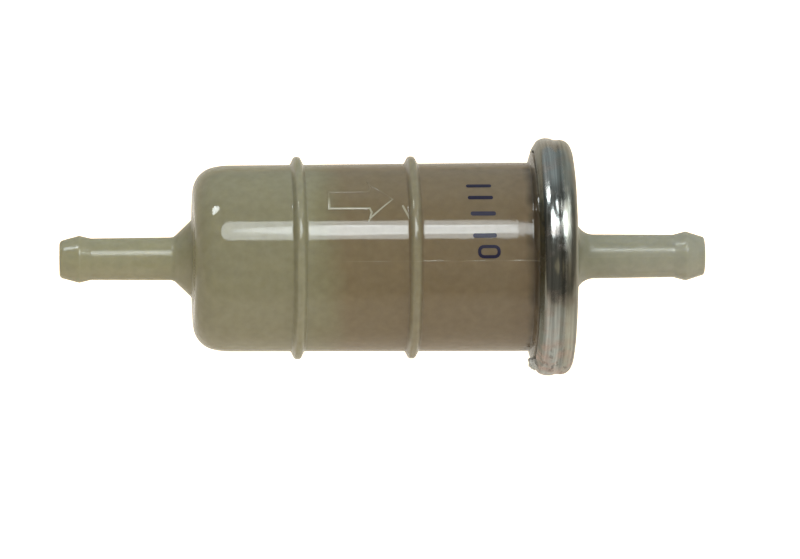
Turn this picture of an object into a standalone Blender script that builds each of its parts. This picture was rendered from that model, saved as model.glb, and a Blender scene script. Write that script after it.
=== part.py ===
"""Inline fuel filter for an 8 mm hose, as Blender objects.

A nylon cup with an inlet nipple and a nylon cover with an outlet nipple meet flange to flange on a
rubber seal, and a crimped steel ring holds the two flanges together. A pleated paper element stands
on the cover inside the cup: fuel enters the cup, crosses the paper inwards, and leaves through the
element's perforated core and the cover's nipple.

Every outline below is drawn in a half plane as (flow, radius) points: flow is the distance along the
filter's axis, towards the outlet, from the middle of the two ribs. The axis lies along +X.
"""

from math import cos, pi, radians, sin, tau

import bmesh
import bpy

MM = 0.001
PLAY = 0.3 * MM  # between pieces that touch

# Hose nipples
HOSE_BORE = 8.0 * MM
NIPPLE_RADIUS = HOSE_BORE / 2
NIPPLE_BORE_RADIUS = 2.4 * MM
TIP_LAND_RADIUS = 2.95 * MM  # outer edge of the flat ring at a nipple's end
BEAD_HEIGHT = 0.55 * MM
BEAD_FROM_END = 3.6 * MM
NECK_FROM_END = 5.8 * MM  # where the bead's back slope meets the tube
INLET_END = -57.5 * MM
INLET_ROOT_FLOW = -35.6 * MM
OUTLET_END = 68.65 * MM
OUTLET_ROOT_RADIUS = 4.3 * MM
OUTLET_ROOT_ROUND = 2.4 * MM

# Cup
WALL = 1.6 * MM
CUP_RADIUS = 18.2 * MM  # at flow 0
CUP_DRAFT = 0.0053  # radius gained per length, towards the mouth
CUP_SHOULDER_FLOW = -26.7 * MM  # where the rounded corner meets the wall
CUP_SHOULDER_ROUND = 4.5 * MM
FUNNEL_END = (-32.0 * MM, 7.5 * MM)  # where the inlet's cone meets the end wall
RIB_SPACING = 22.2 * MM
RIB_HEIGHT = 1.45 * MM
RIB_CREST_ROUND = 0.8 * MM
RIB_HALF_WIDTH = 1.25 * MM

# Joint of cup and cover
FLANGE_RADIUS = 22.25 * MM
CUP_FLANGE_START = 33.4 * MM
CUP_MOUTH = 38.0 * MM
SEAL_THICKNESS = 1.2 * MM
COVER_FLANGE_START = CUP_MOUTH + SEAL_THICKNESS + 2 * PLAY
SEAL_RADIUS = 21.8 * MM
SEAL_BORE_RADIUS = 17.0 * MM
SKIRT_RADIUS = 16.4 * MM  # the cover's locating skirt, inside the cup
SKIRT_WALL = 1.2 * MM
SKIRT_DEPTH = 1.4 * MM
COVER_PLATE = 1.8 * MM
BOSS_FACE = 43.3 * MM
BOSS_RADIUS = 9.5 * MM

# Crimp ring
SHEET = 0.6 * MM
LIP_START = (34.75 * MM, 21.0 * MM)
LIP_SLOPE = 60.8  # degrees from the axis
LIP_ROUND = 1.6 * MM
LIP_ROUND_CENTRE = (36.9 * MM, 21.55 * MM)
BACK_ROUND = 2.3 * MM
BACK_ROUND_CENTRE = (40.3 * MM, 20.4 * MM)
BACK_BORE_RADIUS = 18.6 * MM
BACK_FACE = BACK_ROUND_CENTRE[0] + BACK_ROUND
GROOVE_START = (38.3 * MM, 23.12 * MM)  # the shallow step between the two bands
GROOVE_END = (39.1 * MM, 22.95 * MM)

# Filter element
PAPER_START = -6.0 * MM
PAPER_END = 31.9 * MM
PAPER_THICKNESS = 0.4 * MM
PLEATS = 24
PLEAT_OUTER_RADIUS = 14.2 * MM
PLEAT_INNER_RADIUS = 6.9 * MM
OUTER_FOLD_WIDTH = 1.1 * MM
INNER_FOLD_WIDTH = 0.8 * MM
CAP_RADIUS = 15.3 * MM
CAP_RIM = 0.6 * MM
CAP_THICKNESS = 1.2 * MM
CAP_RIM_DEPTH = 2.0 * MM
CAP_EDGE_ROUND = 0.5 * MM
RESIN_THICKNESS = 1.2 * MM
RESIN_RADIUS = CAP_RADIUS - CAP_RIM - PLAY
CORE_RADIUS = 6.2 * MM
CORE_BORE_RADIUS = 5.3 * MM
CORE_HOLE_RADIUS = 1.3 * MM
CORE_HOLE_ROWS = 6
COLLAR_RADIUS = 4.4 * MM
COLLAR_BORE_RADIUS = 3.0 * MM
COLLAR_SHOULDER = (36.9 * MM, 5.6 * MM)
COLLAR_END = 40.3 * MM
COLLAR_SEAL_SECTION = 0.6 * MM  # radius of the round rubber section
SOCKET_BORE_RADIUS = 6.2 * MM
SOCKET_START = 36.0 * MM
CLIP_THICKNESS = 0.35 * MM
CLIP_LEG = 3.0 * MM
CLIP_SHORTER = 0.6 * MM  # at each end, than the paper

# How finely round pieces are divided
SHELL_STEPS = 48
INNER_STEPS = 36
ARC_STEP = 22.5  # degrees


def clear_scene():
    for obj in list(bpy.data.objects):
        bpy.data.objects.remove(obj, do_unlink=True)


def new_collection(name, helper=False):
    collection = bpy.data.collections.new(name)
    bpy.context.scene.collection.children.link(collection)
    collection.hide_render = helper
    return collection


def linear(channel):
    """One 0 to 255 channel of a screen colour as the linear value that Blender works in."""
    value = channel / 255
    return value / 12.92 if value <= 0.04045 else ((value + 0.055) / 1.055) ** 2.4


def material(name, red, green, blue, roughness, metallic=0.0, transmission=0.0):
    made = bpy.data.materials.new(name)
    made.use_nodes = True
    shader = made.node_tree.nodes["Principled BSDF"]
    colour = (linear(red), linear(green), linear(blue), 1.0)
    shader.inputs["Base Color"].default_value = colour
    shader.inputs["Roughness"].default_value = roughness
    shader.inputs["Metallic"].default_value = metallic
    shader.inputs["Transmission Weight"].default_value = transmission
    made.diffuse_color = colour
    return made


def arc(centre, radius, start, end):
    """Points of a round stretch, its angles in degrees from the flow direction towards the outside."""
    count = max(2, round(abs(end - start) / ARC_STEP))
    turns = [radians(start + (end - start) * i / count) for i in range(count + 1)]
    return [(centre[0] + radius * cos(turn), centre[1] + radius * sin(turn)) for turn in turns]


def cup_radius(flow):
    return CUP_RADIUS + CUP_DRAFT * flow


def link(obj, collection, axis, look):
    """Puts a piece, modelled along its own Z, on the filter's axis."""
    collection.objects.link(obj)
    obj.parent = axis
    obj.data.materials.append(look)
    return obj


def apply_and_smooth(obj):
    """Applies the modifiers, then shades the piece smooth with sharp corners."""
    bpy.context.view_layer.update()
    evaluated = obj.evaluated_get(bpy.context.evaluated_depsgraph_get())
    solid = bpy.data.meshes.new_from_object(evaluated)
    outline = obj.data
    obj.modifiers.clear()
    obj.data = solid
    solid.name = obj.name
    bpy.data.meshes.remove(outline)
    solid.shade_smooth()
    solid.set_sharp_from_angle(angle=radians(35))


def turned(name, outside, inside, steps, collection, axis, look):
    """A turned piece. Both sides run with the flow; a solid one has only an outside, from axis to axis."""
    points = list(reversed(outside)) + inside
    mesh = bpy.data.meshes.new(name)
    edges = [(i, i + 1) for i in range(len(points) - 1)]
    if inside:
        edges.append((len(points) - 1, 0))
    mesh.from_pydata([(radius, 0, flow) for flow, radius in points], edges, [])
    obj = link(bpy.data.objects.new(name, mesh), collection, axis, look)
    screw = obj.modifiers.new("Turn", "SCREW")
    screw.steps = steps
    screw.render_steps = steps
    screw.use_merge_vertices = True
    screw.merge_threshold = 1e-5
    apply_and_smooth(obj)
    return obj


def folded_sheet(name, points, start, end, thickness, collection, axis, look):
    """A sheet folded along the flow: its section through these points, from start to end."""
    mesh = bpy.data.meshes.new(name)
    edges = [(i, i + 1) for i in range(len(points) - 1)]
    mesh.from_pydata([(x, y, start) for x, y in points], edges, [])
    sheet = bmesh.new()
    sheet.from_mesh(mesh)
    grown = bmesh.ops.extrude_edge_only(sheet, edges=sheet.edges[:])["geom"]
    moved = [item for item in grown if isinstance(item, bmesh.types.BMVert)]
    bmesh.ops.translate(sheet, verts=moved, vec=(0, 0, end - start))
    bmesh.ops.recalc_face_normals(sheet, faces=sheet.faces[:])
    sheet.to_mesh(mesh)
    sheet.free()
    obj = link(bpy.data.objects.new(name, mesh), collection, axis, look)
    solidify = obj.modifiers.new("Thickness", "SOLIDIFY")
    solidify.thickness = thickness
    solidify.offset = 0
    solidify.use_even_offset = True
    apply_and_smooth(obj)
    return obj


def take_primitive(name):
    """Names the primitive just added and takes it out of the collection it was added to."""
    obj = bpy.context.object
    for owner in list(obj.users_collection):
        owner.objects.unlink(obj)
    obj.name = name
    obj.data.name = name
    return obj


def nipple(end, inwards):
    """The outside of a nipple, from its tip to the neck behind the bead; inwards is 1 or -1."""
    bead = NIPPLE_RADIUS + BEAD_HEIGHT
    steps = [
        (0, TIP_LAND_RADIUS),
        (0.25 * MM, TIP_LAND_RADIUS + 0.35 * MM),
        (0.7 * MM, TIP_LAND_RADIUS + 0.65 * MM),
        (BEAD_FROM_END - 0.2 * MM, bead - 0.04 * MM),
        (BEAD_FROM_END + 0.2 * MM, bead - 0.04 * MM),
        (NECK_FROM_END, NIPPLE_RADIUS),
    ]
    return [(end + inwards * depth, radius) for depth, radius in steps]


def rib(flow):
    """One hoop around the cup: straight flanks and a round crest."""
    base = cup_radius(flow)
    crest = (flow, base + RIB_HEIGHT - RIB_CREST_ROUND)
    return [
        (flow - RIB_HALF_WIDTH, base),
        *arc(crest, RIB_CREST_ROUND, 170, 10),
        (flow + RIB_HALF_WIDTH, base),
    ]


def make_cup(*place):
    shoulder = (CUP_SHOULDER_FLOW, cup_radius(CUP_SHOULDER_FLOW) - CUP_SHOULDER_ROUND)
    seat = LIP_ROUND - SHEET - PLAY
    outside = [
        *nipple(INLET_END, 1),
        (INLET_ROOT_FLOW, NIPPLE_RADIUS + 0.13 * MM),
        FUNNEL_END,
        *arc(shoulder, CUP_SHOULDER_ROUND, 180, 90),
        *rib(-RIB_SPACING / 2),
        *rib(RIB_SPACING / 2),
        (CUP_FLANGE_START, cup_radius(CUP_FLANGE_START)),
        (CUP_FLANGE_START + 0.3 * MM, 19.3 * MM),
        (CUP_FLANGE_START + 0.9 * MM, 20.35 * MM),
        (LIP_START[0] + 0.8 * MM, 20.4 * MM),
        *arc(LIP_ROUND_CENTRE, seat, 90 + LIP_SLOPE, 90),
        (CUP_MOUTH, FLANGE_RADIUS),
    ]
    inner_round = CUP_SHOULDER_ROUND - WALL
    inside = [
        (INLET_END, NIPPLE_BORE_RADIUS),
        (INLET_ROOT_FLOW + 1 * MM, NIPPLE_BORE_RADIUS),
        (FUNNEL_END[0] + 1.4 * MM, FUNNEL_END[1] - 1.4 * MM),
        *arc(shoulder, inner_round, 180, 90),
        (CUP_MOUTH, cup_radius(CUP_MOUTH) - WALL),
    ]
    return turned("filter_body", outside, inside, SHELL_STEPS, *place)


def make_cover(*place):
    seat = BACK_ROUND - SHEET - PLAY
    rim = BACK_BORE_RADIUS - PLAY
    raised_face = BACK_FACE - 0.2 * MM
    root = (BOSS_FACE + OUTLET_ROOT_ROUND, OUTLET_ROOT_RADIUS + OUTLET_ROOT_ROUND)
    skirt_start = CUP_MOUTH - SKIRT_DEPTH
    outside = [
        (skirt_start, SKIRT_RADIUS - SKIRT_WALL),
        (skirt_start, SKIRT_RADIUS),
        (COVER_FLANGE_START, SKIRT_RADIUS),
        (COVER_FLANGE_START, BACK_ROUND_CENTRE[1] + seat),
        *arc(BACK_ROUND_CENTRE, seat, 90, 0),
        (BACK_ROUND_CENTRE[0] + seat, rim),
        (raised_face - 0.3 * MM, rim),
        (raised_face, rim - 0.3 * MM),
        (raised_face, BOSS_RADIUS),
        (BOSS_FACE, BOSS_RADIUS - 0.9 * MM),
        *arc(root, OUTLET_ROOT_ROUND, 180, 270),
        *reversed(nipple(OUTLET_END, -1)),
    ]
    plate = raised_face - COVER_PLATE
    socket_end = COLLAR_END + 2 * PLAY
    inside = [
        (plate, SKIRT_RADIUS - SKIRT_WALL),
        (plate, SOCKET_BORE_RADIUS + WALL),
        (SOCKET_START, SOCKET_BORE_RADIUS + WALL),
        (SOCKET_START, SOCKET_BORE_RADIUS),
        (socket_end, SOCKET_BORE_RADIUS),
        (socket_end, COLLAR_BORE_RADIUS),
        (socket_end + 1.4 * MM, NIPPLE_BORE_RADIUS),
        (OUTLET_END, NIPPLE_BORE_RADIUS),
    ]
    return turned("outlet_cover", outside, inside, SHELL_STEPS, *place)


def make_crimp_ring(*place):
    """The steel channel: a lip rolled over the cup's flange, two bands, and a flat turned-in back."""
    slope = radians(LIP_SLOPE)
    inner_lip = (LIP_START[0] + SHEET * sin(slope), LIP_START[1] - SHEET * cos(slope))
    outside = [
        LIP_START,
        *arc(LIP_ROUND_CENTRE, LIP_ROUND, 90 + LIP_SLOPE, 90),
        GROOVE_START,
        GROOVE_END,
        *arc(BACK_ROUND_CENTRE, BACK_ROUND, 85, 0),
        (BACK_FACE, BACK_BORE_RADIUS),
    ]
    inside = [
        inner_lip,
        *arc(LIP_ROUND_CENTRE, LIP_ROUND - SHEET, 90 + LIP_SLOPE, 90),
        (GROOVE_START[0], GROOVE_START[1] - SHEET),
        (GROOVE_END[0], GROOVE_END[1] - SHEET),
        *arc(BACK_ROUND_CENTRE, BACK_ROUND - SHEET, 85, 0),
        (BACK_FACE - SHEET, BACK_BORE_RADIUS),
    ]
    return turned("crimp_ring", outside, inside, SHELL_STEPS, *place)


def make_flange_seal(*place):
    start = CUP_MOUTH + PLAY
    end = start + SEAL_THICKNESS
    outside = [(start, SEAL_RADIUS), (end, SEAL_RADIUS)]
    inside = [(start, SEAL_BORE_RADIUS), (end, SEAL_BORE_RADIUS)]
    return turned("flange_seal", outside, inside, INNER_STEPS, *place)


def make_closed_cap(*place):
    """The dish at the element's inlet end."""
    face = PAPER_START - 2 * PLAY - RESIN_THICKNESS
    back = face - CAP_THICKNESS
    rim_end = face + CAP_RIM_DEPTH
    outside = [
        (back, 0),
        (back, CAP_RADIUS - CAP_EDGE_ROUND),
        (back + CAP_EDGE_ROUND, CAP_RADIUS),
        (rim_end, CAP_RADIUS),
        (rim_end, CAP_RADIUS - CAP_RIM),
        (face, CAP_RADIUS - CAP_RIM),
        (face, 0),
    ]
    return turned("element_closed_cap", outside, [], INNER_STEPS, *place)


def make_open_cap(*place):
    """The dish at the element's outlet end, with the collar that fits in the cover's socket."""
    face = PAPER_END + 2 * PLAY + RESIN_THICKNESS
    back = face + CAP_THICKNESS
    rim_start = face - CAP_RIM_DEPTH
    outside = [
        (rim_start, CAP_RADIUS),
        (back - CAP_EDGE_ROUND, CAP_RADIUS),
        (back, CAP_RADIUS - CAP_EDGE_ROUND),
        (back, COLLAR_SHOULDER[1]),
        COLLAR_SHOULDER,
        (COLLAR_SHOULDER[0], COLLAR_RADIUS),
        (COLLAR_END, COLLAR_RADIUS),
    ]
    inside = [
        (rim_start, CAP_RADIUS - CAP_RIM),
        (face, CAP_RADIUS - CAP_RIM),
        (face, COLLAR_BORE_RADIUS),
        (COLLAR_END, COLLAR_BORE_RADIUS),
    ]
    return turned("element_open_cap", outside, inside, INNER_STEPS, *place)


def make_closed_resin(*place):
    end = PAPER_START - PLAY
    start = end - RESIN_THICKNESS
    outside = [(start, 0), (start, RESIN_RADIUS), (end, RESIN_RADIUS), (end, 0)]
    return turned("closed_cap_resin", outside, [], INNER_STEPS, *place)


def make_open_resin(*place):
    start = PAPER_END + PLAY
    end = start + RESIN_THICKNESS
    outside = [(start, RESIN_RADIUS), (end, RESIN_RADIUS)]
    inside = [(start, CORE_BORE_RADIUS), (end, CORE_BORE_RADIUS)]
    return turned("open_cap_resin", outside, inside, INNER_STEPS, *place)


def make_core(cutters, *place):
    """The perforated tube that keeps the pleats from collapsing inwards."""
    outside = [(PAPER_START, CORE_RADIUS), (PAPER_END, CORE_RADIUS)]
    inside = [(PAPER_START, CORE_BORE_RADIUS), (PAPER_END, CORE_BORE_RADIUS)]
    core = turned("element_core", outside, inside, INNER_STEPS, *place)
    axis = core.parent
    pitch = (PAPER_END - PAPER_START) / (CORE_HOLE_ROWS + 1)
    for row in range(CORE_HOLE_ROWS):
        for side in (0, 1):
            turn = pi / 2 * side + pi / 4 * (row % 2)
            bpy.ops.mesh.primitive_cylinder_add(
                vertices=10,
                radius=CORE_HOLE_RADIUS,
                depth=4 * CORE_RADIUS,
                location=(0, 0, PAPER_START + pitch * (row + 1)),
                rotation=(0, pi / 2, turn),
            )
            cutter = take_primitive(f"core_hole_cutter_{row}_{side}")
            cutters.objects.link(cutter)
            cutter.parent = axis
            cutter.hide_render = True
            cutter.display_type = "WIRE"
            hole = core.modifiers.new(f"Hole {row} {side}", "BOOLEAN")
            hole.operation = "DIFFERENCE"
            hole.object = cutter
    return core


def make_pleats(*place):
    """The paper: a star of pleats whose two ends stand side by side at the seam, at angle 0."""
    half_pitch = pi / PLEATS
    outer = PLEAT_OUTER_RADIUS - PAPER_THICKNESS / 2
    inner = PLEAT_INNER_RADIUS + PAPER_THICKNESS / 2
    outer_half = OUTER_FOLD_WIDTH / 2 / outer
    inner_half = INNER_FOLD_WIDTH / 2 / inner
    section = []
    for pleat in range(PLEATS):
        middle = tau * pleat / PLEATS
        valley = middle + half_pitch
        section += [
            (outer * cos(middle + outer_half), outer * sin(middle + outer_half)),
            (inner * cos(valley - inner_half), inner * sin(valley - inner_half)),
            (inner * cos(valley + inner_half), inner * sin(valley + inner_half)),
        ]
        peak = middle + 2 * half_pitch - outer_half
        section.append((outer * cos(peak), outer * sin(peak)))
    return folded_sheet("pleated_paper", section, PAPER_START, PAPER_END, PAPER_THICKNESS, *place)


def make_seam_clip(*place):
    """The steel channel that grips the paper's two end leaves."""
    clear = PLAY + CLIP_THICKNESS / 2
    reach = PLEAT_OUTER_RADIUS + clear
    half = OUTER_FOLD_WIDTH / 2 + PAPER_THICKNESS / 2 + clear
    section = [
        (reach - CLIP_LEG, half),
        (reach, half),
        (reach, -half),
        (reach - CLIP_LEG, -half),
    ]
    start = PAPER_START + CLIP_SHORTER
    end = PAPER_END - CLIP_SHORTER
    return folded_sheet("paper_seam_clip", section, start, end, CLIP_THICKNESS, *place)


def make_collar_seal(collection, axis, look):
    """The rubber ring that seals the element's collar in the cover's socket."""
    bpy.ops.mesh.primitive_torus_add(
        major_radius=COLLAR_RADIUS + PLAY + COLLAR_SEAL_SECTION,
        minor_radius=COLLAR_SEAL_SECTION,
        major_segments=INNER_STEPS,
        minor_segments=10,
        location=(0, 0, COLLAR_SHOULDER[0] + PLAY + COLLAR_SEAL_SECTION),
    )
    obj = take_primitive("collar_seal")
    obj.data.shade_smooth()
    return link(obj, collection, axis, look)


def main():
    clear_scene()
    filter_parts = new_collection("inline_fuel_filter")
    cutters = new_collection("cutters", helper=True)

    axis = bpy.data.objects.new("flow_axis", None)
    axis.empty_display_size = 0.02
    axis.rotation_euler = (0, pi / 2, 0)
    filter_parts.objects.link(axis)

    nylon = material("translucent nylon", 139, 137, 112, roughness=0.28, transmission=0.35)
    steel = material("zinc-plated steel", 176, 180, 182, roughness=0.22, metallic=1.0)
    rubber = material("nitrile rubber", 30, 30, 31, roughness=0.75)
    paper = material("resin-treated filter paper", 150, 112, 70, roughness=0.9)
    plastic = material("element plastic", 178, 170, 140, roughness=0.5)
    resin = material("potting resin", 196, 160, 92, roughness=0.4)

    make_cup(filter_parts, axis, nylon)
    make_cover(filter_parts, axis, nylon)
    make_crimp_ring(filter_parts, axis, steel)
    make_flange_seal(filter_parts, axis, rubber)
    make_closed_cap(filter_parts, axis, plastic)
    make_closed_resin(filter_parts, axis, resin)
    make_pleats(filter_parts, axis, paper)
    make_seam_clip(filter_parts, axis, steel)
    make_core(cutters, filter_parts, axis, plastic)
    make_open_resin(filter_parts, axis, resin)
    make_open_cap(filter_parts, axis, plastic)
    make_collar_seal(filter_parts, axis, rubber)


main()
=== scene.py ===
# %% [markdown]
# # An inline fuel filter
#
# This lesson gives a small engine's fuel filter its finished looks: a milky nylon cup and cover with
# hose nipples, a crimped and zinc-plated steel ring, and a pleated paper element inside.
#
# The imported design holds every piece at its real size, in metres, with the flow along +X and +Z up.
# It is loaded first and never moved. Pieces whose surface needs more than the design's plain facets
# are modelled again in the same place, and the rest get a better finish.

# %% Load the design
from math import cos, pi, radians, sin, tan, tau

import bpy
from mathutils import Matrix, Vector


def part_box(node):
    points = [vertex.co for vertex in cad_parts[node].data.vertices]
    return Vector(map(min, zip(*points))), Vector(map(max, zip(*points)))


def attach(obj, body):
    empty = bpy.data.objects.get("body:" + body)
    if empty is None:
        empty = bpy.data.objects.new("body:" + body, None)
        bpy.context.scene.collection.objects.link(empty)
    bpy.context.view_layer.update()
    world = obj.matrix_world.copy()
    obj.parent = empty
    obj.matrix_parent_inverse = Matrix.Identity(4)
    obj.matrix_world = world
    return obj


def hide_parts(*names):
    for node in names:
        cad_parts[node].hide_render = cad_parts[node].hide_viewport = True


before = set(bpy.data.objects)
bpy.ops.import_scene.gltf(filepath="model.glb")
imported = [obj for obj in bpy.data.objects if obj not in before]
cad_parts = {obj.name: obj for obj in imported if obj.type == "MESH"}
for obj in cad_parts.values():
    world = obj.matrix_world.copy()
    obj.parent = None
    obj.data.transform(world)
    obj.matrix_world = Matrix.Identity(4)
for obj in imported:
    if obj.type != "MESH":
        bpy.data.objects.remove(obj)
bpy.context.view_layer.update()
MM = 0.001
print("pieces in the design:", sorted(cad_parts))

# %% [markdown]
# ## Reading sizes off the design
#
# Every size below comes from the box of a piece or from a short list of real dimensions. The cup, cover
# and ring are turned shapes, so two numbers place a point on them: its flow, the distance along the
# axis, and its radius.

# %% Sizes
cup_low, cup_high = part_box("filter_body")
cover_low, cover_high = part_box("outlet_cover")

# the finished inlet tip and the ring's back stop a little short of the design's plain ones
TIP_INSET = 0.1 * MM
BACK_INSET = 0.18 * MM
INLET_END = cup_low.x + TIP_INSET
CUP_MOUTH = cup_high.x
OUTLET_END = cover_high.x
RING_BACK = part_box("crimp_ring")[1].x - BACK_INSET

NIPPLE_BORE = 2.4 * MM
NECK_RADIUS = 4.06 * MM
WALL = 1.6 * MM
CUP_RADIUS = 18.28 * MM  # at flow 0
CUP_DRAFT = 0.0053  # radius gained per length, so that the moulding leaves its tool
VIEW_ELEVATION = radians(45)  # how steeply the viewer looks down at the filter
print(f"from {INLET_END / MM:.1f} to {OUTLET_END / MM:.1f} mm along the flow")

# %% [markdown]
# ## Helpers for turned shapes
#
# A lathe part is quickest to make as its outline, spun once round the axis. The outline is a list of
# corners, each with the radius of the round that a mould or a press leaves there. Real parts have no
# knife edges, and it is the small rounds that catch the light, so the helper turns each corner into
# an arc before anything is drawn. A large round gets more points than a small one.


# %% Rounded outlines
ARC_TURN = radians(12)  # the most that one step of an arc turns
ARC_LENGTH = 0.5 * MM  # and the most that it spans
STRAIGHT = radians(178)


def rounded(corners):
    """Points of a closed outline from (flow, radius, round) corners, with an arc at each."""
    points = []
    for here, (flow, radius, size) in enumerate(corners):
        corner = Vector((flow, radius))
        before = Vector(corners[here - 1][:2])
        after = Vector(corners[(here + 1) % len(corners)][:2])
        back = (before - corner).normalized()
        ahead = (after - corner).normalized()
        between = back.angle(ahead)
        if size == 0 or between > STRAIGHT:
            points.append(corner)
            continue
        reach = size / tan(between / 2)
        middle = corner + (back + ahead).normalized() * size / sin(between / 2)
        first = corner + back * reach - middle
        turn = first.angle_signed(corner + ahead * reach - middle)
        count = max(2, round(abs(turn) / ARC_TURN), round(abs(turn) * size / ARC_LENGTH))
        for i in range(count + 1):
            points.append(middle + Matrix.Rotation(-turn * i / count, 2) @ first)
    return points


# %% [markdown]
# Smooth shading blends the directions of neighbouring faces, and over a long straight that would
# look like a bulge. A point held close to each end of a straight keeps it flat.


# %% Held straights
HOLD = 0.15 * MM


def held(points):
    """The outline with a point added near each end of every straight."""
    places = []
    for here, point in enumerate(points):
        after = points[(here + 1) % len(points)]
        places.append(point)
        share = HOLD / (after - point).length
        if share < 0.25:
            places += [point.lerp(after, share), point.lerp(after, 1 - share)]
    return places


# %% [markdown]
# The outline is drawn as by hand: a plane is merged to one vertex, which is extruded from point to
# point. Spin turns it into a skin, and merging the doubled first and last rows closes it.


# %% Drawing and spinning
DOUBLE = 0.002 * MM  # points closer than this are one point
SMOOTH_BELOW = radians(40)


def deselect():
    if bpy.context.object and bpy.context.object.mode != "OBJECT":
        bpy.ops.object.mode_set(mode="OBJECT")
    bpy.ops.object.select_all(action="DESELECT")


def start_path(name, place):
    """A new piece of one selected vertex, in edit mode."""
    deselect()
    bpy.ops.mesh.primitive_plane_add(size=MM, location=place)
    piece = bpy.context.object
    piece.name = name
    piece.data.name = name
    bpy.ops.object.transform_apply(location=True, rotation=False, scale=False)
    bpy.ops.object.mode_set(mode="EDIT")
    bpy.ops.mesh.select_all(action="SELECT")
    bpy.ops.mesh.merge(type="CENTER")
    return piece


def draw_path(places):
    """Extrudes the selected vertex from the first place to the last."""
    for here, there in zip(places, places[1:]):
        bpy.ops.mesh.extrude_region_move(TRANSFORM_OT_translate={"value": there - here})


def report(piece):
    print(f"{piece.name}: {len(piece.data.vertices)} points, {len(piece.data.polygons)} faces")


def turned(name, corners, steps=144):
    """A piece spun from its outline, with its doubles merged and its faces turned outwards."""
    places = [Vector((flow, 0, radius)) for flow, radius in held(rounded(corners))]
    piece = start_path(name, places[0])
    draw_path(places + places[:1])
    bpy.ops.mesh.select_all(action="SELECT")
    bpy.ops.mesh.spin(steps=steps, angle=tau, center=(0, 0, 0), axis=(1, 0, 0))
    bpy.ops.mesh.select_all(action="SELECT")
    bpy.ops.mesh.remove_doubles(threshold=DOUBLE)
    bpy.ops.mesh.normals_make_consistent(inside=False)
    bpy.ops.object.mode_set(mode="OBJECT")
    bpy.ops.object.shade_smooth_by_angle(angle=SMOOTH_BELOW)
    report(piece)
    return piece


# %% [markdown]
# ## Nipples
#
# Both ends carry the same moulded hose nipple: a flat land at the tip, a lead-in cone, a round bead
# that the hose stretches over, and a neck behind it where the clip sits. One function lists its
# corners from the tip inwards, and both mouldings use it.


# %% Nipple corners
NECK_START = 6.1 * MM  # depth from the tip
NECK_ROUND = 1.6 * MM


def nipple(end, inwards, neck, bead, bead_depth, tip_round):
    """Corners from the tip at `end`, where `inwards` is the sign of the way into the filter."""
    steps = [
        (0, NIPPLE_BORE, 0.12 * MM),
        (0, neck - 0.5 * MM, tip_round),
        (bead_depth, bead, 0.8 * MM),
        (NECK_START, neck, NECK_ROUND),
    ]
    return [(end + inwards * depth, radius, size) for depth, radius, size in steps]


# %% [markdown]
# ## The cup
#
# The cup is one injection moulding: nipple, cone, end wall, tapered side wall with two hoops, and the
# flange that the steel ring clamps. Its wall is 1.6 mm thick all over, because a thicker one would
# sink as it cools. So the inside of the outline follows the outside at that distance.


# %% Side wall and hoops
FOOT, CREST = 1.3 * MM, 0.55 * MM  # half the width of a hoop at its foot and at its crest


def cup_radius(flow):
    return CUP_RADIUS + CUP_DRAFT * flow


def on_side(flow, size, sink=0.0):
    """A corner on the side wall, or sunk a little under it."""
    return (flow, cup_radius(flow) - sink, size)


def hoop(flow, height):
    base = cup_radius(flow)
    return [
        (flow - FOOT, base, 0.35 * MM),
        (flow - CREST, base + height, 0.62 * MM),
        (flow + CREST, base + height, 0.62 * MM),
        (flow + FOOT, base, 0.35 * MM),
    ]


# %% [markdown]
# The corners run from the inlet's tip over the outside to the mouth, and back along the inside.

# %% Cup
END_WALL = -31.4 * MM
FLANGE_RADIUS = cup_high.z
cup_corners = [
    # inlet nipple and cone
    *nipple(INLET_END, 1, NECK_RADIUS, 4.6 * MM, 3.85 * MM, 0.85 * MM),
    (-35.2 * MM, NECK_RADIUS + 0.13 * MM, NECK_ROUND),
    (-31.75 * MM, 7.5 * MM, 0.7 * MM),
    # end wall, with a shoulder of two rounds, and the side wall
    (END_WALL, 9.2 * MM, 0),
    (END_WALL, 16.89 * MM, 4.95 * MM),
    on_side(-25.88 * MM, 14 * MM),
    *hoop(-11.1 * MM, 1.55 * MM),
    *hoop(11.2 * MM, 1.42 * MM),
    on_side(31.0 * MM, 60 * MM),
    on_side(34.15 * MM, 0.3 * MM, sink=0.04 * MM),
    # flange
    (34.75 * MM, 20.35 * MM, 0.3 * MM),
    (35.5 * MM, 20.5 * MM, 0.2 * MM),
    (36.45 * MM, FLANGE_RADIUS, 0.5 * MM),
    (CUP_MOUTH, FLANGE_RADIUS, 0.2 * MM),
    # inside
    on_side(CUP_MOUTH, 0.3 * MM, sink=WALL),
    (END_WALL + WALL, cup_radius(END_WALL) - WALL, 3.6 * MM),
    (-30.3 * MM, 6.4 * MM, 0.8 * MM),
    (-34.6 * MM, NIPPLE_BORE, 1.5 * MM),
]
cup = turned("nylon_cup", cup_corners)

# %% [markdown]
# ## The cover
#
# The cover is moulded in the same nylon. Its flange goes under the ring's turned-in back, a raised
# face fills the ring's hole, and a boss with a wide fillet carries the outlet nipple. Inside are the
# skirt that centres it in the cup and the socket for the element's collar.

# %% Cover
# flows of its faces, from the outlet inwards
boss_face = 43.4 * MM
raised_face = RING_BACK - 0.15 * MM
flange_back = raised_face - 0.7 * MM
inner_face = raised_face - 1.8 * MM
flange_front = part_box("flange_seal")[1].x + 0.3 * MM
socket_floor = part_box("element_open_cap")[1].x + 0.6 * MM
socket_mouth = 36.0 * MM
skirt_start = cover_low.x
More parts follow.
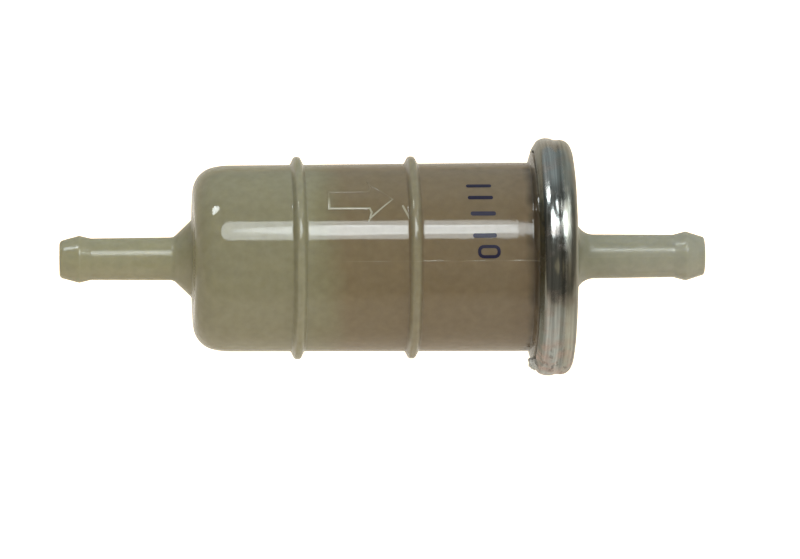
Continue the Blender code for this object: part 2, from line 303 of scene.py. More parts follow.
# and its radii
outlet_neck = NECK_RADIUS + 0.1 * MM
raised_radius = 18.3 * MM
skirt_outside, skirt_inside = 16.4 * MM, 15.2 * MM
socket_outside, socket_inside = 7.8 * MM, 6.2 * MM
cover_corners = [
    *nipple(OUTLET_END, -1, outlet_neck, 4.82 * MM, 3.65 * MM, 0.5 * MM),
    (boss_face, 4.35 * MM, 3.6 * MM),
    (boss_face, 8.8 * MM, 0.5 * MM),
    (raised_face, 9.6 * MM, 0.4 * MM),
    (raised_face, raised_radius, 0.3 * MM),
    (flange_back, raised_radius, 0.1 * MM),
    (flange_back, cover_high.z, 1.4 * MM),
    (flange_front, cover_high.z, 0.2 * MM),
    (flange_front, skirt_outside, 0.1 * MM),
    (skirt_start, skirt_outside, 0.2 * MM),
    (skirt_start, skirt_inside, 0.2 * MM),
    (inner_face, skirt_inside, 0.4 * MM),
    (inner_face, socket_outside, 0.4 * MM),
    (socket_mouth, socket_outside, 0.2 * MM),
    (socket_mouth, socket_inside, 0.4 * MM),
    (socket_floor, socket_inside, 0.2 * MM),
    (socket_floor, 3.0 * MM, 0.2 * MM),
    (socket_floor + 1.4 * MM, NIPPLE_BORE, 0.3 * MM),
]
cover = turned("nylon_cover", cover_corners)

# %% [markdown]
# ## The crimped ring
#
# The ring starts as a strip pressed into a channel, and a roller folds its lip over the cup's flange.
# The roller leaves two shallow bands with a step between them and fine lines round the ring, and the
# fold is never perfectly even. The bands are in the outline.

# %% Ring
SHEET = 0.6 * MM
RING_HOLE = 18.6 * MM
ring_outside = [
    (34.85 * MM, 20.9 * MM, 0.28 * MM),
    (35.95 * MM, 22.72 * MM, 1.2 * MM),
    (37.1 * MM, 23.2 * MM, 2.0 * MM),
    (38.35 * MM, 23.22 * MM, 2.0 * MM),
    (39.2 * MM, 22.9 * MM, 1.0 * MM),
    (40.25 * MM, 22.95 * MM, 1.5 * MM),
    (RING_BACK, 22.88 * MM, 2.1 * MM),
    (RING_BACK, RING_HOLE, 0.28 * MM),
]
ring_inside = [
    (RING_BACK - SHEET, RING_HOLE, 0.28 * MM),
    (RING_BACK - SHEET, 22.25 * MM, 1.65 * MM),
    (40.2 * MM, 22.4 * MM, 1.0 * MM),
    (38.8 * MM, 22.35 * MM, 1.0 * MM),
    (36.45 * MM, 22.5 * MM, 0.8 * MM),
    (35.5 * MM, 20.75 * MM, 0.2 * MM),
]
ring = turned("zinc_ring", ring_outside + ring_inside, steps=300)

# %% [markdown]
# The plain turned ring is too perfect, so its back band is pulled down a little with proportional
# editing, as a tired crimping tool does. A Displace modifier with soft clouds, a few hundredths of a
# millimetre deep, then wobbles the whole skin.


# %% Uneven fold
up_picture = Vector((0, sin(VIEW_ELEVATION), cos(VIEW_ELEVATION)))
BACK_BAND = 39.5 * MM  # flow at which the back band starts


def select_points(piece, test):
    """Selects, in edit mode, the points whose place passes the test."""
    deselect()
    bpy.context.view_layer.objects.active = piece
    piece.select_set(True)
    for edge in piece.data.edges:
        edge.select = False
    for face in piece.data.polygons:
        face.select = False
    for point in piece.data.vertices:
        point.select = test(point.co)
    bpy.ops.object.mode_set(mode="EDIT")
    bpy.ops.mesh.select_mode(type="VERT")


def ruffle(piece, size, strength, octaves):
    """Moves the skin in and out with clouds of that size."""
    clouds = bpy.data.textures.new(f"{piece.name}_clouds", "CLOUDS")
    clouds.noise_scale = size
    clouds.noise_depth = octaves
    uneven = piece.modifiers.new("uneven", "DISPLACE")
    uneven.texture = clouds
    uneven.texture_coords = "LOCAL"
    uneven.strength = strength
    bpy.ops.object.modifier_apply(modifier=uneven.name)


select_points(ring, lambda place: place.x > BACK_BAND)
bpy.ops.transform.translate(
    value=-0.12 * MM * up_picture,
    use_proportional_edit=True,
    proportional_edit_falloff="SMOOTH",
    proportional_size=2.5 * MM,
)
bpy.ops.object.mode_set(mode="OBJECT")
ruffle(ring, size=6 * MM, strength=0.12 * MM, octaves=2)
report(ring)

# %% [markdown]
# ## A crimping burr
#
# Where the roller ran out, it left a torn scrap of nylon and zinc standing in the corner under the
# lip. It starts as a small ball, which is stretched along the corner and crumpled with clouds.

# %% Burr
BURR_ANGLE = VIEW_ELEVATION - radians(82)
BURR_FLOW, BURR_RADIUS = 35.35 * MM, 21.0 * MM
deselect()
bpy.ops.mesh.primitive_ico_sphere_add(subdivisions=5, radius=1 * MM, location=(0, 0, 0))
burr = bpy.context.object
burr.name = "crimp_burr"
burr.scale = (1.5, 1.25, 1.9)
bpy.ops.object.transform_apply(location=False, rotation=False, scale=True)
ruffle(burr, size=0.9 * MM, strength=1.3 * MM, octaves=3)
bpy.ops.object.shade_smooth_by_angle(angle=radians(35))
burr.location = (BURR_FLOW, -BURR_RADIUS * cos(BURR_ANGLE), BURR_RADIUS * sin(BURR_ANGLE))
burr.rotation_euler = (-BURR_ANGLE, 0.3, 0)
bpy.ops.object.transform_apply(location=True, rotation=True, scale=False)
report(burr)

# %% [markdown]
# ## The flow arrow
#
# A thin raised outline of an arrow is moulded on the cup, and it tells which way the fuel goes. It
# is drawn flat, and a Simple Deform modifier then bends the sheet to the cup's radius. The path
# needs a point every half millimetre, so that there is something to bend.


# %% Wrapping flat shapes on the cup
def wrap(piece, radius, angle):
    """Bends a flat piece at y = 0 round the axis, facing `angle` up from the viewer's side."""
    heights = [point.co.z for point in piece.data.vertices]
    bend = piece.modifiers.new("wrap", "SIMPLE_DEFORM")
    bend.deform_method = "BEND"
    bend.deform_axis = "X"
    bend.angle = (max(heights) - min(heights)) / radius
    bpy.ops.object.modifier_apply(modifier=bend.name)
    piece.location = (0, -radius * cos(angle), radius * sin(angle))
    piece.rotation_euler = (-angle, 0, 0)
    bpy.ops.object.transform_apply(location=True, rotation=True, scale=False)


def fill_between(corners, step):
    """Places along a closed path, about `step` apart."""
    places = []
    for here, corner in enumerate(corners):
        after = corners[(here + 1) % len(corners)]
        count = max(1, round((after - corner).length / step))
        places += [corner.lerp(after, i / count) for i in range(count)]
    return places


# %% [markdown]
# The path is closed with a face. Insetting the face twice, and raising it between the two insets,
# makes a low ridge along the path, and the face itself is then deleted.

# %% Arrow
ARROW_ANGLE = VIEW_ELEVATION + radians(38)
LINE = 0.46 * MM
LINE_HEIGHT = 0.12 * MM
LINE_ROOT = 0.01 * MM  # how deep the ridge starts under the cup's skin
shaft, head = 2.3 * MM, 5.0 * MM  # half widths
tail, neck, barb, tip = -5.7 * MM, 2.2 * MM, 1.9 * MM, 7.2 * MM  # flows
near_half = [(tail, -shaft), (neck, -shaft), (neck + 0.3 * MM, -head + 2.0 * MM), (barb, -head)]
far_half = [(flow, -side) for flow, side in reversed(near_half)]
arrow_corners = [Vector((flow, 0, side)) for flow, side in [*near_half, (tip, 0), *far_half]]
arrow_path = fill_between(arrow_corners, 0.5 * MM)
arrow = start_path("flow_arrow", arrow_path[0])
draw_path(arrow_path + arrow_path[:1])
bpy.ops.mesh.select_all(action="SELECT")
bpy.ops.mesh.remove_doubles(threshold=DOUBLE)
bpy.ops.mesh.edge_face_add()
bpy.ops.mesh.inset(thickness=LINE / 2)
bpy.ops.transform.translate(value=(0, -LINE_HEIGHT, 0))
bpy.ops.mesh.inset(thickness=LINE / 2)
bpy.ops.transform.translate(value=(0, LINE_HEIGHT, 0))
bpy.ops.mesh.delete(type="FACE")
bpy.ops.mesh.select_all(action="SELECT")
bpy.ops.mesh.normals_make_consistent(inside=False)
bpy.ops.object.mode_set(mode="OBJECT")
wrap(arrow, cup_radius(0) - LINE_ROOT, ARROW_ANGLE)
thick = arrow.modifiers.new("root", "SOLIDIFY")
thick.thickness = 0.08 * MM
bpy.ops.object.modifier_apply(modifier=thick.name)
bpy.ops.object.shade_smooth_by_angle(angle=radians(60))
report(arrow)

# %% [markdown]
# ## Flat marks
#
# The other marks on the cup are flat shapes of an even height: a short moulded stroke beyond the
# arrow's tip, and the maker's row of ink marks. The ink marks stand here as plain dashes and an open
# ring, with no letters or digits. Each is a plane with rounded corners, extruded and wrapped.


# %% Flat marks
def flat_mark(name, flow, angle, length, width, height, tilt=0, line=0):
    """A flat rounded shape on the cup. With `line`, only a border of that width stays."""
    deselect()
    bpy.ops.mesh.primitive_plane_add(size=1, location=(0, 0, 0), rotation=(pi / 2, 0, 0))
    mark = bpy.context.object
    mark.name = name
    mark.scale = (length, width, 1)
    bpy.ops.object.transform_apply(location=False, rotation=True, scale=True)
    mark.location = (flow, 0, 0)
    mark.rotation_euler = (0, tilt, 0)
    bpy.ops.object.transform_apply(location=True, rotation=True, scale=False)
    bpy.ops.object.mode_set(mode="EDIT")
    bpy.ops.mesh.select_all(action="SELECT")
    bpy.ops.mesh.bevel(offset=0.45 * min(length, width), segments=5, affect="VERTICES")
    if line:
        bpy.ops.mesh.select_all(action="SELECT")
        bpy.ops.mesh.inset(thickness=line)
        bpy.ops.mesh.delete(type="FACE")
        bpy.ops.mesh.select_all(action="SELECT")
    bpy.ops.mesh.extrude_region_move(TRANSFORM_OT_translate={"value": (0, -height, 0)})
    bpy.ops.mesh.select_all(action="SELECT")
    bpy.ops.mesh.normals_make_consistent(inside=False)
    bpy.ops.object.mode_set(mode="OBJECT")
    wrap(mark, cup_radius(flow), VIEW_ELEVATION + angle)
    return mark


STROKE_TILT = radians(66)
STROKE_HEIGHT = 0.08 * MM
stroke_place = (9.4 * MM, radians(28.5))
stroke = flat_mark(
    "moulded_stroke", *stroke_place, 3.4 * MM, 0.4 * MM, STROKE_HEIGHT, tilt=STROKE_TILT
)
report(stroke)

# %% [markdown]
# The ink marks are rows of flow, angle, length, width and line, in millimetres and degrees. They are
# joined into one piece, because one stamp prints them all.

# %% Ink marks
INK = 0.03 * MM
marks = []
for flow, angle, *sizes, line in (
    (23.7, 48.5, 4.9, 0.85, 0),
    (23.9, 38.7, 4.9, 0.85, 0),
    (24.3, 27.2, 4.9, 0.9, 0),
    (24.5, 13.0, 4.6, 0.9, 0),
    (25.3, 3.2, 4.4, 2.6, 0.62),
):
    length, width = [size * MM for size in sizes]
    name = f"ink_mark_{len(marks)}"
    marks.append(flat_mark(name, flow * MM, radians(angle), length, width, INK, line=line * MM))

deselect()
for mark in marks:
    mark.select_set(True)
bpy.context.view_layer.objects.active = marks[0]
bpy.ops.object.join()
ink = bpy.context.object
ink.name = "ink_marks"
report(ink)

# %% [markdown]
# ## Finishes: helpers
#
# Colours are written as the sRGB hex values of a paint chart, and one function turns them to the
# linear values that the shader works in. A second adds a node with its settings and links, and the
# short ones after it stand for the nodes that nearly every finish uses.


# %% Colour and node helpers
def colour(hex_value):
    channels = [int(hex_value[i : i + 2], 16) / 255 for i in (1, 3, 5)]
    return [c / 12.92 if c <= 0.04045 else ((c + 0.055) / 1.055) ** 2.4 for c in channels] + [1.0]


def add(tree, kind, inputs=None, **settings):
    """Adds a node. An input is a value, or a socket to link from."""
    node = tree.nodes.new(kind)
    for name, value in settings.items():
        setattr(node, name, value)
    for name, value in (inputs or {}).items():
        if isinstance(value, bpy.types.NodeSocket):
            tree.links.new(value, node.inputs[name])
        else:
            node.inputs[name].default_value = value
    return node


def blend(tree, factor, first, second, how="MIX"):
    """Mixes two colours."""
    inputs = {0: factor, 6: first, 7: second}
    return add(tree, "ShaderNodeMix", inputs, data_type="RGBA", blend_type=how).outputs[2]


def noise(tree, place, scale, detail):
    inputs = {"Vector": place, "Scale": scale, "Detail": detail}
    return add(tree, "ShaderNodeTexNoise", inputs).outputs["Fac"]


def ranged(tree, value, start, end, low=0.0, high=1.0):
    """Runs from low to high while the value runs from start to end, and stays level outside."""
    inputs = {"Value": value, "From Min": start, "From Max": end, "To Min": low, "To Max": high}
    return add(tree, "ShaderNodeMapRange", inputs).outputs["Result"]


def worked(tree, operation, *terms):
    """The result of one Math node."""
    return add(tree, "ShaderNodeMath", dict(enumerate(terms)), operation=operation).outputs[0]


def times(tree, first, second):
    return worked(tree, "MULTIPLY", first, second)


def along(tree, place, axis):
    return add(tree, "ShaderNodeSeparateXYZ", {"Vector": place}).outputs[axis]


def stretched(tree, place, scale):
    return add(tree, "ShaderNodeMapping", {"Vector": place, "Scale": scale}).outputs["Vector"]


def relief(tree, height, depth, below=None, strength=1.0):
    """A bump of that depth, laid over the relief below it."""
    inputs = {"Strength": strength, "Height": height, "Distance": depth}
    if below is not None:
        inputs["Normal"] = below
    return add(tree, "ShaderNodeBump", inputs).outputs["Normal"]


# %% [markdown]
# A finish starts as a material with its Principled shader, and every pattern reads the Object
# coordinates, so that it stays on the piece.


# %% Starting and wearing a finish
def new_finish(name):
    finish = bpy.data.materials.new(name)
    finish.use_nodes = True
    tree = finish.node_tree
    place = add(tree, "ShaderNodeTexCoord").outputs["Object"]
    return finish, tree, tree.nodes["Principled BSDF"], place


def dress(piece, finish):
    piece.data.materials.clear()
    piece.data.materials.append(finish)


# %% [markdown]
# ## Natural nylon
# Undyed nylon 6 is milky: light enters, scatters for a millimetre or two and leaves again. So it is
# given subsurface scattering under a glossy skin. What lies behind the wall shows through as a tint:
# greenish over the empty inlet chamber, and brown where the paper is. In the corner under the ring's
# lip it turns dark, a painted shade. That tint follows the flow, and slow noise makes its edges
# wander.

# %% Tint along the flow
WANDER = 5 * MM
TINT_START, TINT_END = -60 * MM, 70 * MM
TINTS = (
    (-36, "#bcb797"),  # inlet nipple
    (-31, "#aea88a"),
    (-9.5, "#ada789"),  # empty inlet chamber
    (-6.5, "#a59d7d"),
    (-2, "#9d8c6e"),  # paper, up to the ring
    (32.5, "#958369"),
    # painted shade: the cup darkens into the corner under the ring's lip
    (34.6, "#5f5546"),  # corner under the ring's lip
    (44, "#b1af99"),
    (66, "#bfbdaa"),  # outlet nipple
)


def flow_tint(tree, wandering):
    """The colour at each flow, from the stops in millimetres above."""
    ramp = add(tree, "ShaderNodeValToRGB", {"Fac": ranged(tree, wandering, TINT_START, TINT_END)})
    stops = ramp.color_ramp.elements
    while len(stops) < len(TINTS):
        stops.new(0.5)
    for stop, (flow, tint) in zip(stops, TINTS):
        stop.position = (flow * MM + WANDER / 2 - TINT_START) / (TINT_END - TINT_START)
        stop.color = colour(tint)
    return ramp.outputs["Color"]


# %% [markdown]
# The hoops and flanges are thicker than the wall, which makes them paler. The mould also leaves a
# fine parting line, 0.15 mm wide, on the two sides where its halves meet. It is worn in places, and
# it fades towards the inlet.


# %% Thick parts and parting line
PARTING_ANGLE = VIEW_ELEVATION - radians(2.3)


def thick_part(tree, radius, flow):
    """How far a place lies on a hoop, by its radius. The flange is left out, since the ring hides it."""
    thick = ranged(tree, radius, 18.35 * MM, 19.2 * MM, 0.0, 0.58)
    return times(tree, thick, ranged(tree, flow, 28 * MM, 31 * MM, 1.0, 0.0))


def parting_line(tree, place, flow, drift):
    inputs = {"Vector": place, "Rotation": (PARTING_ANGLE, 0, 0)}
    turned_place = add(tree, "ShaderNodeMapping", inputs, vector_type="POINT").outputs["Vector"]
    beside = worked(tree, "ABSOLUTE", along(tree, turned_place, "Z"))
    line = ranged(tree, beside, 0.05 * MM, 0.16 * MM, 1.0, 0.0)
    line = times(tree, line, ranged(tree, drift, 0.4, 0.6, 0.1, 0.8))
    return times(tree, line, ranged(tree, flow, -4 * MM, 6 * MM))


# %% [markdown]
# The skin copies the tool: draw marks run along the flow, 0.7 mm apart, under a faint orange peel,
# which is stronger near the flange, where the melt arrived last. The nipples come from sliding
# cores, and their skin is duller than that of the polished cup.


# %% Skin of the moulding
def moulded_skin(tree, place, wandering, line):
    draw_marks = noise(tree, stretched(tree, place, (0.05, 1, 1)), 1.4 / MM, 2.0)
    peel = noise(tree, place, 1.1 / MM, 3.0)
    late = ranged(tree, wandering, 18 * MM, 32 * MM, 0.25, 1.0)
    skin = relief(tree, draw_marks, 0.003 * MM)
    skin = relief(tree, peel, 0.009 * MM, skin, late)
    return relief(tree, line, 0.04 * MM, skin)


def moulded_gloss(tree, patches, radius):
    """The roughness, a little uneven on the cup and higher on the narrow nipples."""
    cup_gloss = ranged(tree, patches, 0.3, 0.7, 0.04, 0.08)
    return worked(tree, "ADD", cup_gloss, ranged(tree, radius, 5 * MM, 8 * MM, 0.17, 0.0))


# %% [markdown]
# The finish puts these together. The raised arrow and stroke wear it too, without the scattering,
# because a ridge is thinner than the depth that light goes into nylon. On the side towards the
# viewer they are painted pale, a painted highlight where the ridges catch the lamp.


# %% Moulded nylon
def moulded_nylon(name, scatter, raised=False):
    finish, tree, shader, place = new_finish(name)
    flow = along(tree, place, "X")
    off_axis = add(tree, "ShaderNodeVectorMath", {0: place, 1: (0, 1, 1)}, operation="MULTIPLY")
    length = add(tree, "ShaderNodeVectorMath", {0: off_axis.outputs["Vector"]}, operation="LENGTH")
    radius = length.outputs["Value"]
    drift = noise(tree, place, 0.12 / MM, 2.0)
    wandering = worked(tree, "MULTIPLY_ADD", drift, WANDER, flow)
    patches = noise(tree, place, 0.6 / MM, 5.0)
    line = parting_line(tree, place, flow, drift)

    tint = blend(tree, thick_part(tree, radius, flow), flow_tint(tree, wandering), colour("#b3af95"))
    tint = blend(tree, 1.0, tint, ranged(tree, patches, 0.3, 0.7, 0.93, 1.07), "MULTIPLY")
    tint = blend(tree, times(tree, line, 0.3), tint, colour("#d9d2ba"))
    if raised:
        # painted highlight: the ridges turn pale towards the viewer, where they catch the lamp
        painted_highlight = ranged(tree, along(tree, place, "Y"), -3.4 * MM, -1.6 * MM, 0.75, 0.03)
        tint = blend(tree, painted_highlight, tint, colour("#d9d4ba"))
    tree.links.new(tint, shader.inputs["Base Color"])
    tree.links.new(moulded_skin(tree, place, wandering, line), shader.inputs["Normal"])
    tree.links.new(moulded_gloss(tree, patches, radius), shader.inputs["Roughness"])
    shader.inputs["IOR"].default_value = 1.53
    shader.inputs["Subsurface Weight"].default_value = scatter
    shader.inputs["Subsurface Radius"].default_value = (1.0, 0.9, 0.6)
    shader.inputs["Subsurface Scale"].default_value = 1.6 * MM
    return finish


nylon = moulded_nylon("natural nylon 6, moulded", 0.8)
raised_nylon = moulded_nylon("natural nylon 6, raised line", 0.0, raised=True)
for piece, finish in ((cup, nylon), (cover, nylon), (arrow, raised_nylon), (stroke, raised_nylon)):
    dress(piece, finish)
print("nylon on", [piece.name for piece in (cup, cover, arrow, stroke)])


# %% [markdown]
# ## Zinc plate
#
# The ring is mild steel with a bright zinc plating, rolled after it was plated. The roller drew
# lines round it, about 0.4 mm apart, and handling left it a little dull in patches. Painted shade
# darkens it where the lip meets the nylon and in the groove between the two bands, beyond which the
# passivated film is yellower. On the underside the dull patches are painted pinkish, a painted
# reflection of the warm floor. Most scuffs are on the underside, short and dark.


# %% Zinc plate
GROOVE = 39.25 * MM


def zinc_tint(tree, place, lines, dull, from_groove, beyond):
    flow = along(tree, place, "X")
    tint = blend(tree, dull, colour("#b0b5b3"), colour("#b3aca6"))
    # painted shade where the lip meets the nylon
    lip_painted_shade = ranged(tree, flow, 35.7 * MM, 36.4 * MM, 0.75, 0.0)
    tint = blend(tree, lip_painted_shade, tint, colour("#565a4a"))
    tint = blend(tree, beyond, tint, colour("#a8a48e"))
    # painted shade in the groove between the two bands
    beside_groove = worked(tree, "ABSOLUTE", from_groove)
    groove_painted_shade = ranged(tree, beside_groove, 0.2 * MM, 0.65 * MM, 0.5, 0.0)
    tint = blend(tree, groove_painted_shade, tint, colour("#55584a"))

    underside = ranged(tree, along(tree, place, "Z"), -9 * MM, 2 * MM, 1.0, 0.0)
    # the dull patches, which are real, are painted pinkish on the underside: a painted reflection of the
    # warm floor
    tint = blend(tree, times(tree, underside, dull), tint, colour("#bda59b"))
    specks = noise(tree, stretched(tree, place, (1, 0.35, 0.35)), 1.3 / MM, 2.0)
    scuffs = times(tree, ranged(tree, specks, 0.58, 0.64, 0.0, 0.6), underside)
    tint = blend(tree, scuffs, tint, colour("#5a5049"))
    return blend(tree, 1.0, tint, ranged(tree, lines, 0.3, 0.7, 0.7, 1.28), "MULTIPLY")


def zinc_plate():
    finish, tree, shader, place = new_finish("bright zinc plate, rolled")
    lines = noise(tree, stretched(tree, place, (1, 0.03, 0.03)), 2.4 / MM, 4.0)
    patches = noise(tree, place, 0.35 / MM, 4.0)
    dull = ranged(tree, patches, 0.42, 0.68)
    from_groove = worked(tree, "SUBTRACT", along(tree, place, "X"), GROOVE)
    beyond = ranged(tree, from_groove, 0.3 * MM, 0.8 * MM, 0.0, 0.5)
    tint = zinc_tint(tree, place, lines, dull, from_groove, beyond)
    gloss = worked(tree, "MULTIPLY_ADD", beyond, 0.25, ranged(tree, dull, 0.0, 1.0, 0.15, 0.32))
    skin = relief(tree, patches, 0.02 * MM, relief(tree, lines, 0.004 * MM))
    tree.links.new(tint, shader.inputs["Base Color"])
    tree.links.new(gloss, shader.inputs["Roughness"])
    tree.links.new(skin, shader.inputs["Normal"])
    shader.inputs["Metallic"].default_value = 1.0
    return finish


zinc = zinc_plate()
dress(ring, zinc)
print(zinc.name, "on", ring.name)


# %% [markdown]
# ## Marking ink
#
# The marks are stamped with a rubber pad and a violet-black ink that bites into nylon. The pad never
# wets evenly, so the ink is denser in some patches than in others.


# %% Ink finish
def stamped_ink():
    finish, tree, shader, place = new_finish("violet marking ink, stamped")
    patches = noise(tree, place, 2.5 / MM, 3.0)
    tint = blend(tree, patches, colour("#120c2a"), colour("#262046"))
    tree.links.new(tint, shader.inputs["Base Color"])
    shader.inputs["Roughness"].default_value = 0.35
    return finish


dress(ink, stamped_ink())


# %% [markdown]
# ## Inside the filter
#
# The element and its seals sit behind the nylon, and they show when the cup is taken away. Their
# shapes come from the design, so each only gets the finish of its material: fluffy filter paper,
# poured resin, plain moulded caps and nitrile rubber. The burr wears the same kind of finish.


# %% Inner finishes
def grained(name, first, second, size, depth, roughness, stretch=(1, 1, 1)):
    """Two shades that wander over a grain of one size, with that grain in relief."""
    finish, tree, shader, place = new_finish(name)
    grain = noise(tree, stretched(tree, place, stretch), 1 / size, 5.0)
    tint = blend(tree, ranged(tree, grain, 0.3, 0.7), colour(first), colour(second))
    tree.links.new(tint, shader.inputs["Base Color"])
    tree.links.new(relief(tree, grain, depth), shader.inputs["Normal"])
    shader.inputs["Roughness"].default_value = roughness
    return finish


# cellulose paper: matted fibres a fraction of a millimetre long, laid mostly along the flow
paper = grained(
    "pleated filter paper, phenolic", "#8a6a44", "#b39468", 0.35 * MM, 0.05 * MM, 0.9, (0.4, 1, 1)
)
# polyester resin: poured round the paper's ends, glossy, amber, with slow ripples
resin = grained("potting resin, poured", "#8f6a35", "#a9834a", 2.0 * MM, 0.03 * MM, 0.18)
# acetal: a fine satin from the spark-eroded mould
caps = grained("black acetal, moulded", "#232425", "#303233", 0.15 * MM, 0.006 * MM, 0.42)
# nitrile rubber: matt, with a bloom of talc
rubber = grained("nitrile rubber, moulded", "#17181a", "#26282a", 0.3 * MM, 0.012 * MM, 0.65)
# the burr: nylon and zinc torn to a pale fluff
scrap = grained("torn crimping scrap", "#dcdfd8", "#ffffff", 0.5 * MM, 0.05 * MM, 0.4)
for finish, names in (
    (paper, ("pleated_paper",)),
    (resin, ("closed_cap_resin", "open_cap_resin")),
    (caps, ("element_closed_cap", "element_open_cap", "element_core", "paper_seam_clip")),
    (rubber, ("flange_seal", "collar_seal")),
    (scrap, (burr.name,)),
):
    for name in names:
        dress(bpy.data.objects[name], finish)
print("inner finishes:", [finish.name for finish in (paper, resin, caps, rubber, scrap)])

# %% [markdown]
# ## Taking the place of the design pieces
#
# The cup, cover and ring take the places of the plain design pieces, which are then left out. The
# arrow, stroke, ink and burr have no piece of their own in the design, so they only ride along.

# %% Stand in for the plain design pieces
for piece, node, slot in (
    (cup, "filter_body", "nylon"),
    (cover, "outlet_cover", "nylon"),
    (ring, "crimp_ring", "zinc_steel"),
):
    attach(piece, "root")
    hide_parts(node)
    print(f"{piece.name} stands in for {node}")
for piece, slot in ((arrow, "nylon"), (stroke, "nylon"), (ink, "nylon"), (burr, "zinc_steel")):
    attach(piece, "root")

# %% [markdown]
# ## Camera
#
# The camera looks down at the filter from 45 degrees with a long lens, from a little on the inlet's
# side, so that the ring shows its left flank.

# %% Camera
CAMERA_REACH = 1.576  # metres back from the axis
CAMERA_FLOW = -83 * MM
LENS = 363.7
AIM = Vector((9.03 * MM, -4.3 * MM))  # what the lens points at, along the flow and up the picture
ROLL = radians(0.33)

away = Vector((0, -cos(VIEW_ELEVATION), sin(VIEW_ELEVATION)))
camera_place = CAMERA_REACH * away + Vector((CAMERA_FLOW, 0, 0))


def facing(place, target, roll):
    """The rotation that looks from place to target, with the flow running level across the picture."""
    back = (place - target).normalized()
    level = Vector((1, 0, 0))
    level = (level - level.dot(back) * back).normalized()
    upright = Matrix((level, back.cross(level), back)).transposed()
    return (upright @ Matrix.Rotation(-roll, 3, "Z")).to_euler()


straight = facing(camera_place, Vector((0, 0, 0)), 0).to_matrix()
target = straight @ Vector((AIM.x, AIM.y, 0))

deselect()
bpy.ops.object.camera_add(location=camera_place, rotation=facing(camera_place, target, ROLL))
camera = bpy.context.object
camera.name = "camera"
camera.data.lens = LENS
camera.data.clip_end = 100
bpy.context.scene.camera = camera
print(f"camera {camera_place.length:.2f} m away")

# %% [markdown]
# ## Floor
#
# The filter hangs over a white paper sweep, far enough above it to leave no shadow in the picture.
# The paper also throws a warm light up on the filter's underside, which the sides of the ring
# mirror. From below it lets the camera through, so that low views see the filter.

# %% Floor
FLOOR = -160 * MM
deselect()
bpy.ops.mesh.primitive_plane_add(size=60, location=(0, 0, FLOOR))
floor = bpy.context.object
floor.name = "floor"
floor_paper = bpy.data.materials.new("white paper floor")
floor_paper.use_nodes = True
floor_tree = floor_paper.node_tree
floor_shader = floor_tree.nodes["Principled BSDF"]
# the camera sees the paper lit to full white, while everything else gets a dimmer, warm light
WARM_GLOW, CAMERA_LIFT = 0.33, 1.2
seen = add(floor_tree, "ShaderNodeLightPath").outputs["Is Camera Ray"]
glow = worked(floor_tree, "MULTIPLY_ADD", seen, CAMERA_LIFT, WARM_GLOW)
floor_tree.links.new(glow, floor_shader.inputs["Emission Strength"])
floor_shader.inputs["Emission Color"].default_value = (1.0, 0.81, 0.58, 1)
floor_shader.inputs["Base Color"].default_value = colour("#e8e8e6")
floor_shader.inputs["Roughness"].default_value = 0.9
floor_shader.inputs["Specular IOR Level"].default_value = 0.1

clear = add(floor_tree, "ShaderNodeBsdfTransparent").outputs["BSDF"]
from_below = add(floor_tree, "ShaderNodeNewGeometry").outputs["Backfacing"]
sides = {0: from_below, 1: floor_shader.outputs["BSDF"], 2: clear}
either = add(floor_tree, "ShaderNodeMixShader", sides)
floor_tree.links.new(either.outputs["Shader"], floor_tree.nodes["Material Output"].inputs["Surface"])
dress(floor, floor_paper)
print(f"floor {-FLOOR / MM:.0f} mm under the axis")

# %% [markdown]
# ## World
#
# The world is a plain room: dim and warm in front of the filter, brighter and cooler behind it.

# %% World
WARM, COLD = (1, 0.92, 0.76, 1), (0.92, 1, 1, 1)
world = bpy.data.worlds.new("studio")
bpy.context.scene.world = world
world.use_nodes = True
sky = world.node_tree
room = sky.nodes["Background"].inputs
direction = add(sky, "ShaderNodeTexCoord").outputs["Generated"]
depth = along(sky, direction, "Y")
sky.links.new(ranged(sky, depth, 0.35, 0.65, 0.12, 0.4), room["Strength"])
sky.links.new(blend(sky, ranged(sky, depth, 0.0, 0.5), WARM, COLD), room["Color"])
print("world:", world.name)


# %% [markdown]
# ## Lights
#
# One long lamp above the filter draws the bright band along the cup: a soft glow with a brighter
# tube inside. Both are built from flat steps, because they narrow at the ends. Two windows add the
# small glints on the shoulder and the nipples, and a weak fill keeps the cup from falling dark.


# %% Flat lights
def soft_light(name, shape, angle, reach, flow, width, height, radiance, tint):
    """A flat light above the filter, its angle measured from the viewer's side up over the top."""
    data = bpy.data.lights.new(name, "AREA")
    data.shape = shape
    data.size = width
    data.size_y = height
    data.color = tint
    data.energy = radiance * pi * width * height * (1 if shape == "RECTANGLE" else pi / 4)
    light = bpy.data.objects.new(name, data)
    bpy.context.scene.collection.objects.link(light)
    away = Vector((0, -cos(radians(angle)), sin(radians(angle))))
    light.location = away * reach + Vector((flow, 0, 0))
    light.rotation_euler = Matrix(((1, 0, 0), (0, away.z, away.y), (0, -away.y, away.z))).to_euler()
    light.visible_camera = False
    return light


# %% [markdown]
# A step of the lamp is its start and end along the flow and its height, in metres. The glow, the tube
# and the rims hang at slightly different distances, because a reflection shows only one of two flat
# lights that lie in the same plane. The glow's round end is for reflections only, so it is kept out
# of the diffuse light.

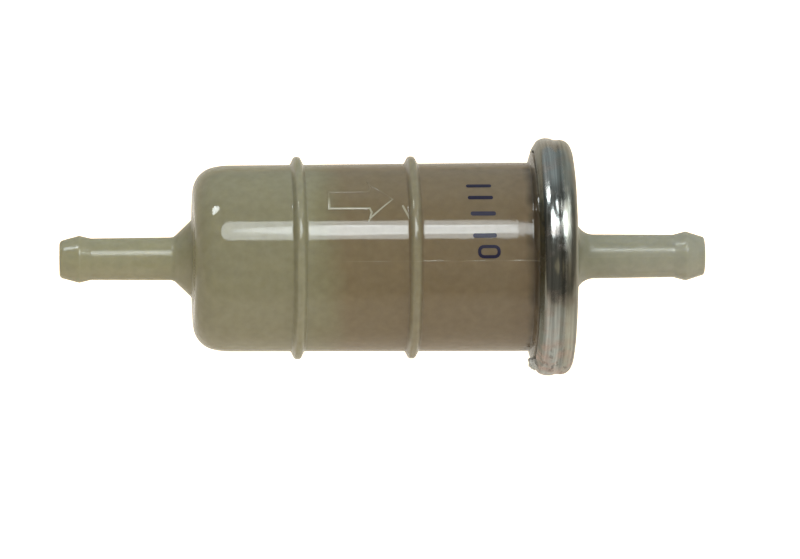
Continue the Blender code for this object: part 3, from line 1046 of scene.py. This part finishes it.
# %% Lamp
COOL = (0.93, 1.0, 1.02)
LAMP_ANGLE = 79
GLOW_REACH, TUBE_REACH, RIM_REACH = 0.9, 0.88, 0.86
GLOW_START, GLOW_HEIGHT, GLOW_RADIANCE = -0.06, 0.37, 5.3
glow_steps = (
    (GLOW_START, 0.083, GLOW_HEIGHT),
    (0.083, 0.097, 0.33),
    (0.097, 0.107, 0.27),
    (0.107, 0.115, 0.2),
    (0.115, 0.122, 0.13),
    (0.122, 0.16, 0.06),
    (0.16, 0.7, 0.12),
)
tube_steps = (
    (0.0, 0.008, 0.07),
    (0.008, 0.022, 0.13),
    (0.022, 0.04, 0.205),
    (0.04, 0.083, 0.17),
    (0.083, 0.091, 0.13),
    (0.091, 0.096, 0.09),
    (0.096, 0.1, 0.045),
)
for part, steps, reach, radiance in (
    ("glow", glow_steps, GLOW_REACH, GLOW_RADIANCE),
    ("tube", tube_steps, TUBE_REACH, 5.9),
):
    for step, (start, end, height) in enumerate(steps):
        name, middle = f"lamp_{part}_{step}", (start + end) / 2
        soft_light(name, "RECTANGLE", LAMP_ANGLE, reach, middle, end - start, height, radiance, COOL)
round_end = soft_light(
    "lamp_round_end", "ELLIPSE", LAMP_ANGLE, GLOW_REACH, GLOW_START, 0.42, GLOW_HEIGHT,
    GLOW_RADIANCE, COOL,
)
round_end.visible_diffuse = False
for side, off, radiance in (("upper", 4.5, 4.0), ("lower", -4.5, 2.6)):
    name, angle = f"lamp_{side}_rim", LAMP_ANGLE + off
    soft_light(name, "RECTANGLE", angle, RIM_REACH, 0.055, 0.062, 0.022, radiance, COOL)
print("lamp steps:", len(glow_steps) + len(tube_steps))

# %% [markdown]
# The windows are for reflections only as well. The fill is the other way round: it lights the cup,
# and no reflection shows it.

# %% Windows and fill
for side, angle, flow, width, height, radiance in (
    ("left", 111.5, -0.455, 0.34, 0.22, 13),
    ("right", 98, 0.5, 0.4, 0.15, 5),
):
    window = soft_light(f"{side}_window", "ELLIPSE", angle, 1.0, flow, width, height, radiance, COOL)
    window.visible_diffuse = False
soft_light("warm_corner", "ELLIPSE", 36, 1.0, 0.35, 0.7, 0.26, 0.2, (1.0, 0.82, 0.5))
fill = soft_light("fill", "RECTANGLE", 62, 1.3, 0.0, 1.2, 0.7, 1.8, (0.96, 0.99, 1.0))
fill.visible_glossy = False

bpy.context.scene.view_settings.view_transform = "Standard"
print("lights:", len(bpy.data.lights))
